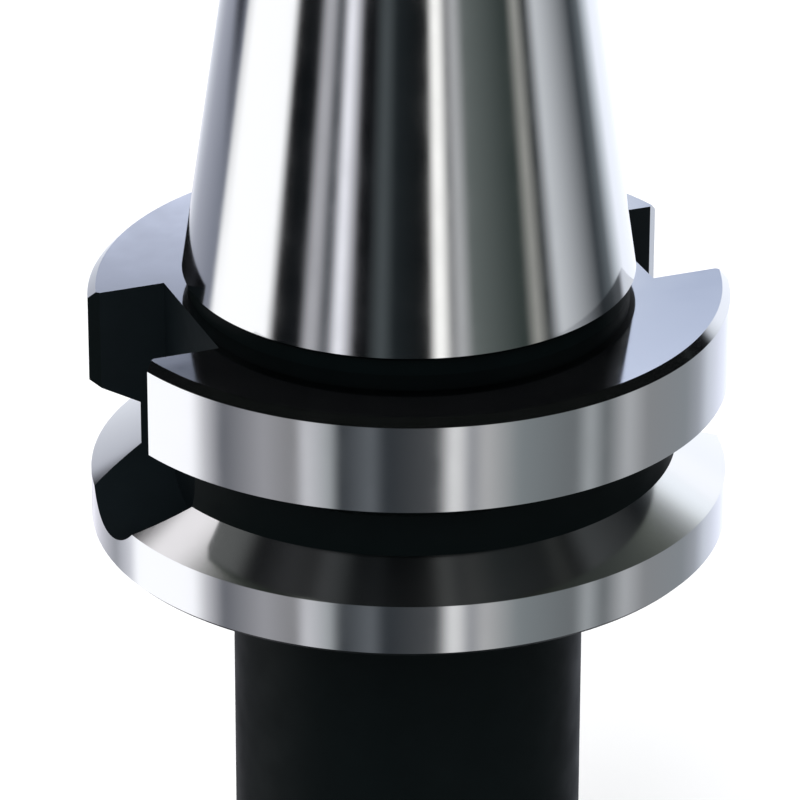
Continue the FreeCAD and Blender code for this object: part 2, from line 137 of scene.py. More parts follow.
@dataclass(frozen=True)
class Finish:
    """A metal finish whose fine tool marks run round the chuck's axis.

    Attributes:
        name: The material's name.
        colour: Base colour as sRGB hex.
        metallic: 1 for bare metal, 0 for an oxide skin.
        roughness: Mean roughness.
        roughness_swing: Half of the roughness's variation between patches.
        mark_pitch: Spacing of the tool marks in millimetres.
        mark_depth: Depth of the tool marks in millimetres.
        anisotropic: Strength of the streaked highlight across the marks.
        mottle: Share of the colour lost in the darkest patches.
        mottle_size: Size of a patch in millimetres.
        specular: Strength of the skin's own mirror, 0.5 for a clean glassy one.
    """

    name: str
    colour: str
    metallic: float
    roughness: float
    roughness_swing: float
    mark_pitch: float
    mark_depth: float
    anisotropic: float = 0.0
    mottle: float = 0.0
    mottle_size: float = 4.0
    specular: float = 0.5

    def make(self) -> bpy.types.Material:
        """Build the node material.

        The marks are four-dimensional noise on the point's direction from the axis, its height
        and its distance from the axis, so that they close round every cone, cylinder and face.

        Returns:
            The material.
        """
        material = bpy.data.materials.new(self.name)
        material.use_nodes = True
        tree = material.node_tree
        shader = tree.nodes["Principled BSDF"]
        place = add_node(tree, "ShaderNodeTexCoord").outputs["Object"]
        flat = add_node(tree, "ShaderNodeVectorMath", {1: (1, 1, 0)}, {0: place}, operation="MULTIPLY")
        reach = add_node(tree, "ShaderNodeVectorMath", links={0: flat.outputs[0]}, operation="LENGTH")
        around = add_node(tree, "ShaderNodeVectorMath", links={0: flat.outputs[0]}, operation="NORMALIZE")
        height = add_node(tree, "ShaderNodeVectorMath", {1: (0, 0, 1 / (self.mark_pitch * MILLIMETRE))},
                          {0: place}, operation="MULTIPLY")
        marked = add_node(tree, "ShaderNodeVectorMath", links={0: around.outputs[0], 1: height.outputs[0]},
                          operation="ADD")
        rings = add_node(tree, "ShaderNodeMath", {1: 1 / (self.mark_pitch * MILLIMETRE)},
                         {0: reach.outputs["Value"]}, operation="MULTIPLY")
        marks = add_node(tree, "ShaderNodeTexNoise", {"Scale": 1.0, "Detail": MARK_DETAIL},
                         {"Vector": marked.outputs[0], "W": rings.outputs[0]}, noise_dimensions="4D")
        patches = add_node(tree, "ShaderNodeTexNoise",
                           {"Scale": 1 / (self.mottle_size * MILLIMETRE), "Detail": PATCH_DETAIL},
                           {"Vector": place}, noise_dimensions="3D")
        rough = add_node(tree, "ShaderNodeMapRange",
                         {"From Min": PATCH_RANGE[0], "From Max": PATCH_RANGE[1],
                          "To Min": self.roughness - self.roughness_swing,
                          "To Max": self.roughness + self.roughness_swing},
                         {"Value": patches.outputs["Fac"]})
        bump = add_node(tree, "ShaderNodeBump", {"Strength": 1.0, "Distance": self.mark_depth * MILLIMETRE},
                        {"Height": marks.outputs["Fac"]})
        shader.inputs["Metallic"].default_value = self.metallic
        shader.inputs["Specular IOR Level"].default_value = self.specular
        shader.inputs["Base Color"].default_value = to_linear(self.colour)
        tree.links.new(rough.outputs["Result"], shader.inputs["Roughness"])
        tree.links.new(bump.outputs["Normal"], shader.inputs["Normal"])
        if self.mottle:
            bright = to_linear(self.colour)
            dark = (*(channel * (1 - self.mottle) for channel in bright[:3]), 1.0)
            tone = add_node(tree, "ShaderNodeMix", {"A": bright, "B": dark},
                            {"Factor": patches.outputs["Fac"]}, data_type="RGBA")
            tree.links.new(tone.outputs["Result"], shader.inputs["Base Color"])
        if self.anisotropic:
            tangent = add_node(tree, "ShaderNodeTangent", direction_type="RADIAL", axis="Z")
            shader.inputs["Anisotropic"].default_value = self.anisotropic
            tree.links.new(tangent.outputs["Tangent"], shader.inputs["Tangent"])
        return material


# Case-hardened steel after cylindrical grinding: bright, with a sharp image round the axis and a
# blurred one along it, because the wheel's scratches run round the axis.
GROUND_STEEL = Finish("ground_steel", "#d2d3d5", 1.0, 0.09, 0.015, mark_pitch=0.3, mark_depth=0.0003,
                      anisotropic=0.5)
# Fine-turned steel on the flange's outside: the same bright metal with a coarser and deeper mark,
# so that its streaks have softer edges than the taper's.
RIM_STEEL = Finish("rim_steel", "#d2d3d5", 1.0, 0.1, 0.015, mark_pitch=0.35, mark_depth=0.0005,
                   anisotropic=0.4)
# Fine-turned steel on the gripper groove's lower flank: bright, and evenly blurred in all directions,
# so that it shows the dark flank above it as a soft image.
FLANK_STEEL = Finish("flank_steel", "#dcdcdc", 1.0, 0.12, 0.01, mark_pitch=0.35, mark_depth=0.0003)
# Hot black oxide over turned steel: a thin magnetite skin, near black and slightly blue, satin.
BLACK_OXIDE = Finish("black_oxide", "#080e0f", 0.0, 0.5, 0.05, mark_pitch=0.3, mark_depth=0.0015,
                     mottle=0.3, specular=0.028)
# The same oxide over milled steel in the drive slots: the cutter leaves a coarser face, which looks
# greyer.
MILLED_BLACK = Finish("milled_black", "#12181b", 0.0, 0.55, 0.05, mark_pitch=0.6, mark_depth=0.003,
                      mottle=0.3, specular=0.05)
# The groove's upper flank, which faces down: fine turned steel darkened into a dark mirror. This is painted
# shade that stands in for the shadow inside the groove, and the lower flank shows it again.
GROOVE_SHADE_STEEL = Finish("groove_shade_steel", "#4e5050", 1.0, 0.15, 0.01, mark_pitch=0.35, mark_depth=0.0003)
# Bored and reamed steel with oil on it: darker and rougher than the ground outside.
BORED_STEEL = Finish("bored_steel", "#8b8d90", 1.0, 0.3, 0.05, mark_pitch=0.15, mark_depth=0.002,
                     mottle=0.2)
# Fine-ground spring steel of the collet.
COLLET_STEEL = Finish("collet_steel", "#c6c8cb", 1.0, 0.2, 0.04, mark_pitch=0.15, mark_depth=0.0008,
                      anisotropic=0.4, mottle=0.1)
# Black screw steel, a little rougher than the oxide on the body.
SCREW_STEEL = Finish("screw_steel", "#101214", 0.0, 0.5, 0.06, mark_pitch=0.3, mark_depth=0.002,
                     mottle=0.3)
# The finishes of the turned pieces, in the order of the numbers in Skin.
TURNED_FINISHES = (GROUND_STEEL, BLACK_OXIDE, BORED_STEEL, RIM_STEEL, FLANK_STEEL, MILLED_BLACK,
                   GROOVE_SHADE_STEEL)


@dataclass(frozen=True)
class Thread:
    """A right-hand 60 degree thread cut into one stretch of a turned profile.

    Attributes:
        pitch: Advance for each turn, in millimetres.
        depth: Height from root to crest, in millimetres.
        inside: True where the cut goes outwards, into a bore's wall.
        rows: Rows of the mesh for each pitch.
        crest: Flat share of half a pitch at the crest.
        flank: Share of half a pitch that a flank takes.
        fade_rate: How many lengths of run-out the threaded stretch holds.
    """

    pitch: float
    depth: float
    inside: bool = False
    rows: int = 9
    crest: float = 0.14
    flank: float = 0.7
    fade_rate: float = 14.0

    def cut(self, angle: np.ndarray, height: np.ndarray, share: np.ndarray) -> np.ndarray:
        """Work out how far the surface moves along its radius.

        The phase is the height in pitches less the angle in turns. A triangle wave of it, with its
        peaks and valleys cut flat, gives the form, and it fades out at both ends of the stretch.

        Args:
            angle: Angle about the axis of each point.
            height: Height of each point in millimetres.
            share: Place of each point along the stretch, from 0 to 1.

        Returns:
            The change of radius of each point in millimetres.
        """
        phase = (height / self.pitch - angle / (2 * math.pi)) % 1
        wave = np.clip((np.abs(2 * phase - 1) - self.crest) / self.flank, 0, 1)
        fade = np.clip(np.minimum(share, 1 - share) * self.fade_rate, 0, 1)
        return -self.depth * wave * fade


@dataclass(frozen=True)
class Corner:
    """One corner of a turned profile and the stretch that leaves it.

    Attributes:
        radius: Distance from the axis in millimetres.
        height: Height above the floor in millimetres.
        skin: Finish of the stretch to the next corner.
        thread: Thread cut into that stretch, if it has one.
        rows: Number of rows of that stretch, where more than one is needed.
    """

    radius: float
    height: float
    skin: Skin = Skin.GROUND
    thread: Optional[Thread] = None
    rows: int = 1


def to_mesh(
    name: str,
    points: np.ndarray,
    faces: list[list[int]],
    skins: np.ndarray,
) -> bpy.types.Mesh:
    """Put points, faces and material numbers into a mesh that is shaded smooth.

    Args:
        name: The mesh's name.
        points: Points in metres, one row each.
        faces: Numbers of the corners of each face.
        skins: Material number of each face.

    Returns:
        The mesh.
    """
    mesh = bpy.data.meshes.new(name)
    mesh.from_pydata(points.tolist(), [], faces)
    mesh.polygons.foreach_set("material_index", skins.astype(np.int32))
    mesh.polygons.foreach_set("use_smooth", np.ones(len(faces), bool))
    mesh.update()
    return mesh


def turned(name: str, corners: Sequence[Corner], segments: int) -> bpy.types.Mesh:
    """Make a closed surface of revolution from a closed profile.

    A point is (r cos a, r sin a, z), where a runs round the axis and (r, z) runs along the
    profile's straight stretches. A threaded stretch adds its thread's cut to r.

    Args:
        name: The mesh's name.
        corners: The profile's corners, outside upwards and bore downwards.
        segments: Number of steps round the axis.

    Returns:
        The mesh, in metres.
    """
    radii, heights, skins, shares, threads = [], [], [], [], []
    for corner, following in zip(corners, [*corners[1:], corners[0]]):
        rows = corner.rows
        if corner.thread:
            pitches = abs(following.height - corner.height) / corner.thread.pitch
            rows = math.ceil(pitches * corner.thread.rows)
        steps = np.arange(rows) / rows
        radii.append(corner.radius + steps * (following.radius - corner.radius))
        heights.append(corner.height + steps * (following.height - corner.height))
        skins.append(np.full(rows, corner.skin.value))
        shares.append(steps)
        threads.append((corner.thread, rows))
    radius, height = np.concatenate(radii), np.concatenate(heights)
    skin, share = np.concatenate(skins), np.concatenate(shares)
    angle = np.arange(segments) * 2 * math.pi / segments
    reach = np.repeat(radius[:, None], segments, axis=1)
    start = 0
    for thread, rows in threads:
        if thread:
            part = slice(start, start + rows)
            change = thread.cut(angle[None, :], height[part, None], share[part, None])
            reach[part] += -change if thread.inside else change
        start += rows
    up = np.repeat(height[:, None], segments, axis=1)
    points = np.stack([reach * np.cos(angle), reach * np.sin(angle), up], -1)
    count = len(radius)
    row, column = np.meshgrid(np.arange(count), np.arange(segments), indexing="ij")
    next_row, next_column = (row + 1) % count, (column + 1) % segments
    faces = np.stack([row * segments + column, row * segments + next_column,
                      next_row * segments + next_column, next_row * segments + column], -1).reshape(-1, 4)
    return to_mesh(name, points.reshape(-1, 3) * MILLIMETRE, faces.tolist(), np.repeat(skin, segments))


def lofted(name: str, rings: np.ndarray, skin: Skin) -> bpy.types.Mesh:
    """Join a row of outlines into a closed skin and cap its two ends.

    Every outline has the same number of points, and a quad joins each pair of neighbours in one
    outline to the same pair in the next.

    Args:
        name: The mesh's name.
        rings: Points in millimetres, as ring, place in the ring, and coordinate.
        skin: Finish of the whole skin.

    Returns:
        The mesh, in metres.
    """
    count, size = rings.shape[:2]
    row, column = np.meshgrid(np.arange(count - 1), np.arange(size), indexing="ij")
    following = (column + 1) % size
    sides = np.stack([row * size + column, row * size + following,
                      (row + 1) * size + following, (row + 1) * size + column], -1).reshape(-1, 4)
    caps = [list(range(size))[::-1], list(range((count - 1) * size, count * size))]
    faces = sides.tolist() + caps
    return to_mesh(name, rings.reshape(-1, 3) * MILLIMETRE, faces, np.full(len(faces), skin.value))


def turn_about_axis(rings: np.ndarray, angle: float) -> np.ndarray:
    """Turn points about the chuck's axis.

    Args:
        rings: Points with their coordinates last.
        angle: Angle in degrees.

    Returns:
        The turned points.
    """
    cosine, sine = math.cos(math.radians(angle)), math.sin(math.radians(angle))
    matrix = np.array([[cosine, -sine, 0], [sine, cosine, 0], [0, 0, 1]])
    return rings @ matrix.T


def add_object(mesh: bpy.types.Mesh, name: str) -> bpy.types.Object:
    """Link a mesh into the scene, at the origin.

    Args:
        mesh: The mesh.
        name: The new object's name.

    Returns:
        The object.
    """
    item = bpy.data.objects.new(name, mesh)
    bpy.context.scene.collection.objects.link(item)
    return item


def cut_out(item: bpy.types.Object, cutters: Sequence[bpy.types.Mesh]) -> None:
    """Cut meshes out of a piece and leave it as one plain mesh.

    Args:
        item: The piece.
        cutters: Closed meshes to take away, each with its own finish.
    """
    for number, cutter in enumerate(cutters):
        tool = add_object(cutter, f"{item.name}_cutter_{number}")
        for material in item.data.materials:
            cutter.materials.append(material)
        change = item.modifiers.new("cut", "BOOLEAN")
        change.operation = "DIFFERENCE"
        change.solver = "EXACT"
        change.object = tool
        bpy.context.view_layer.update()
        made = bpy.data.meshes.new_from_object(item.evaluated_get(bpy.context.evaluated_depsgraph_get()))
        item.modifiers.remove(change)
        old = item.data
        item.data = made
        bpy.data.meshes.remove(old)
        bpy.data.objects.remove(tool)
        bpy.data.meshes.remove(cutter)
    item.data.name = item.name


def crisp(item: bpy.types.Object) -> None:
    """Shade a piece smooth, with sharp edges where its faces meet at more than the crease angle."""
    item.data.polygons.foreach_set("use_smooth", np.ones(len(item.data.polygons), bool))
    item.data.set_sharp_from_angle(angle=math.radians(CREASE_ANGLE))


@dataclass
class HolderBody:
    """The chuck's body: taper, neck, flange, shank and nose in one piece.

    The attributes are its sizes in millimetres, heights counted from the nut's front face. Lengths
    named edge, root, lift or relief are counted from the place that they dress. The overshoot is
    what a cutter reaches past the steel, and steps and segments count a round's straight pieces.
    """

    gauge_height: float = 100.0
    gauge_radius: float = 22.225
    top_height: float = 165.4
    top_radius: float = 12.6875
    top_edge: float = 1.0
    neck_radius: float = 21.7
    neck_edge: float = 0.4
    flange_radius: float = 31.5
    flange_rear: float = 98.0
    flange_front: float = 73.0
    flange_edge: float = 0.8
    flange_front_edge: float = 0.4
    groove_height: float = 83.4
    groove_mouth: float = 10.0
    groove_radius: float = 26.5
    groove_floor: float = 4.2265
    slot_half_width: float = 8.05
    slot_floor: float = 22.6
    slot_end: float = 76.0
    slot_edge: float = 2.25
    slot_edge_lift: float = 0.3
    shank_radius: float = 17.5
    shank_end: float = 21.0
    shank_edge: float = 1.0
    shank_root: float = 0.8
    relief_radius: float = 11.5
    relief_length: float = 2.6
    relief_slope: float = 1.0
    nose_radius: float = 12.5
    nose_front: float = 8.9
    nose_edge: float = 0.9
    mouth_radius: float = 10.536
    pocket_radius: float = 6.939
    pocket_height: float = 34.5
    tool_bore_height: float = 58.5
    stop_radius: float = 6.05
    stop_hole_height: float = 86.8
    stop_hole_cone: float = 1.2
    coolant_radius: float = 4.0
    tap_radius: float = 7.0
    tap_height: float = 131.4
    drill_rate: float = 0.6
    pilot_radius: float = 8.5
    pilot_height: float = 156.4
    pilot_edge: float = 0.6
    overshoot: float = 2.0
    slot_steps: int = 49
    segments: int = 300
    nose_thread: Thread = Thread(1.5, 0.9, rows=15)
    stud_thread: Thread = Thread(2.0, 0.9, inside=True, rows=7)

    def profile(self) -> list[Corner]:
        """List the corners of the turned profile.

        Returns:
            The corners, outside upwards and bore downwards.
        """
        half_mouth, half_floor = self.groove_mouth / 2, self.groove_floor / 2
        black, bore = Skin.BLACK, Skin.BORE
        taper_rate = (self.gauge_radius - self.top_radius) / (self.top_height - self.gauge_height)
        tap_cone = self.drill_rate * (self.tap_radius - self.coolant_radius)
        return [
            Corner(self.mouth_radius, self.nose_front, bore),
            Corner(self.nose_radius - self.nose_edge, self.nose_front, bore),
            Corner(self.nose_radius, self.nose_front + self.nose_edge, bore, self.nose_thread),
            Corner(self.nose_radius, self.shank_end - self.relief_length, black),
            Corner(self.relief_radius, self.shank_end - self.relief_length + self.relief_slope,
                   black),
            Corner(self.relief_radius, self.shank_end, black),
            Corner(self.shank_radius - self.shank_edge, self.shank_end, black),
            Corner(self.shank_radius, self.shank_end + self.shank_edge, black, rows=6),
            Corner(self.shank_radius, self.flange_front - self.shank_root, black),
            Corner(self.shank_radius + self.shank_root, self.flange_front, black, rows=3),
            Corner(self.flange_radius - self.flange_front_edge, self.flange_front, black),
            Corner(self.flange_radius, self.flange_front + self.flange_front_edge, Skin.RIM, rows=3),
            Corner(self.flange_radius, self.groove_height - half_mouth, Skin.FLANK, rows=4),
            Corner(self.groove_radius, self.groove_height - half_floor, black, rows=3),
            # The upper flank wears the darkened steel that paints the groove's shade.
            Corner(self.groove_radius, self.groove_height + half_floor, Skin.GROOVE_SHADE, rows=4),
            Corner(self.flange_radius, self.groove_height + half_mouth, Skin.RIM, rows=6),
            Corner(self.flange_radius, self.flange_rear - self.flange_edge),
            Corner(self.flange_radius - self.flange_edge, self.flange_rear, rows=6),
            Corner(self.neck_radius, self.flange_rear, black, rows=3),
            Corner(self.neck_radius, self.gauge_height - self.neck_edge, black),
            Corner(self.gauge_radius, self.gauge_height, rows=12),
            Corner(self.top_radius + self.top_edge * taper_rate, self.top_height - self.top_edge),
            Corner(self.top_radius - self.top_edge, self.top_height, black, rows=2),
            Corner(self.pilot_radius + self.pilot_edge, self.top_height, black),
            Corner(self.pilot_radius, self.top_height - self.pilot_edge, bore, rows=2),
            Corner(self.pilot_radius, self.pilot_height, bore),
            Corner(self.tap_radius, self.pilot_height, bore, self.stud_thread),
            Corner(self.tap_radius, self.tap_height, bore, rows=2),
            Corner(self.coolant_radius, self.tap_height - tap_cone, bore, rows=4),
            Corner(self.coolant_radius, self.stop_hole_height + self.stop_hole_cone, bore, rows=2),
            Corner(self.stop_radius, self.stop_hole_height, bore, rows=4),
            Corner(self.stop_radius, self.tool_bore_height, bore),
            Corner(self.pocket_radius, self.tool_bore_height, bore, rows=3),
            Corner(self.pocket_radius, self.pocket_height, Skin.GROUND, rows=4),
        ]

    def slot_cutter(
        self,
        side: float,
        start: float,
        bottom: float,
        flare: float,
        skin: Skin,
    ) -> bpy.types.Mesh:
        """Make a cutter of one drive slot: the slot itself, or the chamfer of its walls.

        Each ring is the slot's outline seen along its own axis: two upright sides, and below them
        a half circle as wide as the slot. The outer ring is larger by the flare, all round.

        Args:
            side: Angle of the slot about the axis, in degrees.
            start: Distance from the axis to the inner ring.
            bottom: Height of the inner ring's lowest point.
            flare: Growth of the half circle for each millimetre outwards.
            skin: Finish of the faces it leaves.

        Returns:
            The cutter.
        """
        finish = self.flange_radius + self.overshoot
        stations = np.array([[start, 0.0], [finish, (finish - start) * flare]])
        turn = np.linspace(math.pi, 2 * math.pi, self.slot_steps)
        radius = self.slot_half_width + stations[:, 1, None]
        across = np.concatenate([radius * np.cos(turn), radius, -radius], axis=1)
        low = bottom + self.slot_half_width + radius * np.sin(turn)
        high = np.repeat(np.full_like(radius, self.flange_rear + self.overshoot), 2, axis=1)
        up = np.concatenate([low, high], axis=1)
        out = np.repeat(stations[:, 0, None], across.shape[1], axis=1)
        rings = np.stack([out, across, up], -1)
        return lofted(f"drive_slot_{int(side)}", turn_about_axis(rings, side), skin)

    def slot_cutters(self) -> list[bpy.types.Mesh]:
        """Make the cutters of both drive slots and of their chamfers.

        The photo shows one slot's chamfer bright and the other's black.

        Returns:
            The cutters, slots first.
        """
        edge_start = self.flange_radius - self.slot_edge
        edge_low = self.slot_end + self.slot_edge + self.slot_edge_lift
        slots = [self.slot_cutter(side, self.slot_floor, self.slot_end, 0.0, Skin.SLOT)
                 for side in (0, 180)]
        edges = [self.slot_cutter(side, edge_start, edge_low, 1.0, skin)
                 for side, skin in ((0, Skin.RIM), (180, Skin.BLACK))]
        return slots + edges

    def build(self) -> bpy.types.Object:
        """Turn the body, mill its two drive slots and dress it.

        Returns:
            The finished piece.
        """
        mesh = turned("holder_body_turned", self.profile(), self.segments)
        for finish in TURNED_FINISHES:
            mesh.materials.append(finish.make())
        item = add_object(mesh, "holder_body_dressed")
        cut_out(item, self.slot_cutters())
        crisp(item)
        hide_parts("holder_body")
        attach(item, "holder")
        log.info("holder body: %d faces", len(item.data.polygons))
        return item


@dataclass
class ClampingNut:
    """The slotted clamping nut.

    The attributes are its sizes in millimetres, heights counted from its front face. The groove
    radius is the bore that the turned blank keeps inside the lip, and the offset disc takes it out.
    """

    radius: float = 17.5
    length: float = 19.0
    front_edge: float = 2.0
    front_length: float = 1.4
    rear_edge: float = 0.6
    mouth_radius: float = 8.9
    seat_height: float = 0.862
    chamber_radius: float = 10.65
    chamber_height: float = 3.86
    lip_height: float = 6.4
    lip_top: float = 8.4
    lip_radius: float = 10.0
    bore_radius: float = 12.55
    thread_edge: float = 0.8
    key_half_width: float = 2.6
    key_depth: float = 2.0
    key_length: float = 12.0
    key_count: int = 6
    groove_radius: float = 8.7
    lip_offset: float = 0.8
    overshoot: float = 2.0
    segments: int = 288
    thread: Thread = Thread(1.5, 0.75, rows=15)

    def profile(self) -> list[Corner]:
        """List the corners of the turned profile.

        Returns:
            The corners, outside upwards and bore downwards.
        """
        black, bore = Skin.BLACK, Skin.BORE
        return [
            Corner(self.mouth_radius, 0, black, rows=3),
            Corner(self.radius - self.front_edge, 0, black),
            Corner(self.radius, self.front_length, black, rows=8),
            Corner(self.radius, self.length - self.rear_edge, black),
            Corner(self.radius - self.rear_edge, self.length, black, rows=2),
            Corner(self.bore_radius + self.thread_edge, self.length, bore),
            Corner(self.bore_radius, self.length - self.thread_edge, bore, self.thread),
            Corner(self.bore_radius, self.lip_top, bore),
            Corner(self.groove_radius, self.lip_top, bore),
            Corner(self.groove_radius, self.lip_height, bore),
            Corner(self.chamber_radius, self.lip_height, bore),
            Corner(self.chamber_radius, self.chamber_height, Skin.GROUND),
            Corner(self.mouth_radius, self.seat_height, Skin.GROUND),
        ]

    def key_cutter(self, number: int) -> bpy.types.Mesh:
        """Make the cutter of one spanner slot: a box across the nut's outside.

        Args:
            number: Which slot, counted round the nut.

        Returns:
            The cutter.
        """
        across = np.array([-1, 1, 1, -1]) * self.key_half_width
        up = np.array([-self.overshoot, -self.overshoot, self.key_length, self.key_length])
        rings = np.stack([np.stack([np.full(4, out), across, up], -1)
                          for out in (self.radius - self.key_depth, self.radius + self.overshoot)])
        angle = 360 / self.key_count * number
        return lofted(f"spanner_slot_{number}", turn_about_axis(rings, angle), Skin.BLACK)

    def lip_cutter(self) -> bpy.types.Mesh:
        """Make the cutter of the extraction lip's bore.

        It is a disc: a circle of the lip's radius round a point off the axis, at two heights.

        Returns:
            The cutter.
        """
        turn = np.arange(self.segments) * 2 * math.pi / self.segments
        rings = np.stack([np.stack([self.lip_offset + self.lip_radius * np.cos(turn),
                                    self.lip_radius * np.sin(turn), np.full_like(turn, height)], -1)
                          for height in (self.lip_height, self.lip_top)])
        return lofted("lip_bore", rings, Skin.BORE)

    def build(self) -> bpy.types.Object:
        """Turn the nut, bore its lip, mill its spanner slots and dress it.

        Returns:
            The finished piece.
        """
        mesh = turned("clamping_nut_turned", self.profile(), self.segments)
        for finish in TURNED_FINISHES[:Skin.RIM.value]:
            mesh.materials.append(bpy.data.materials[finish.name])
        item = add_object(mesh, "clamping_nut_dressed")
        keys = [self.key_cutter(number) for number in range(self.key_count)]
        cut_out(item, [self.lip_cutter(), *keys])
        crisp(item)
        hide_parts("clamping_nut")
        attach(item, "nut")
        log.info("clamping nut: %d faces", len(item.data.polygons))
        return item


def dress_node(node: str, finish: Finish) -> None:
    """Give a node of the frame its finish.

    Args:
        node: The node's name.
        finish: Its finish.
    """
    mesh = frame["nodes"][node].data
    mesh.materials.clear()
    mesh.materials.append(finish.make())
    log.info("%s: %s", node, finish.name)


@dataclass(frozen=True)
class Card:
    """One edge of a lit or dark card round the set.

    Attributes:
        azimuth: Angle from the camera's side, in degrees, positive to the camera's right.
        shade: What a bright steel mirror facing it shows, as sRGB hex.
    """

    azimuth: float
    shade: str


class Blend(Enum):
    """How a ring of cards meets the ring below it, as the Mix node names it."""

    COVER = "MIX"
    SHADE = "MULTIPLY"


@dataclass(frozen=True)
class Ring:
    """A ring of cards round the set, at the directions above one height.

    A direction's height is the upward part of its unit vector, from -1 to 1. The lowest ring shows
    wherever no other does.

    Attributes:
        start: Height from which the ring begins to show.
        end: Height from which it shows in full.
        cards: The cards' edges in order of azimuth, at most 32.
        blend: Whether it covers the ring below or only shades it.
    """

    start: float
    end: float
    cards: tuple[Card, ...]
    blend: Blend = Blend.COVER


@dataclass(frozen=True)
class Lamp:
    """A square soft lamp that points at the flange and shows in no reflection.

    Attributes:
        name: Its name.
        place: Its place in millimetres.
        size: Its side in millimetres.
        power: Its power in watts.
    """

    name: str
    place: tuple[float, float, float]
    size: float
    power: float


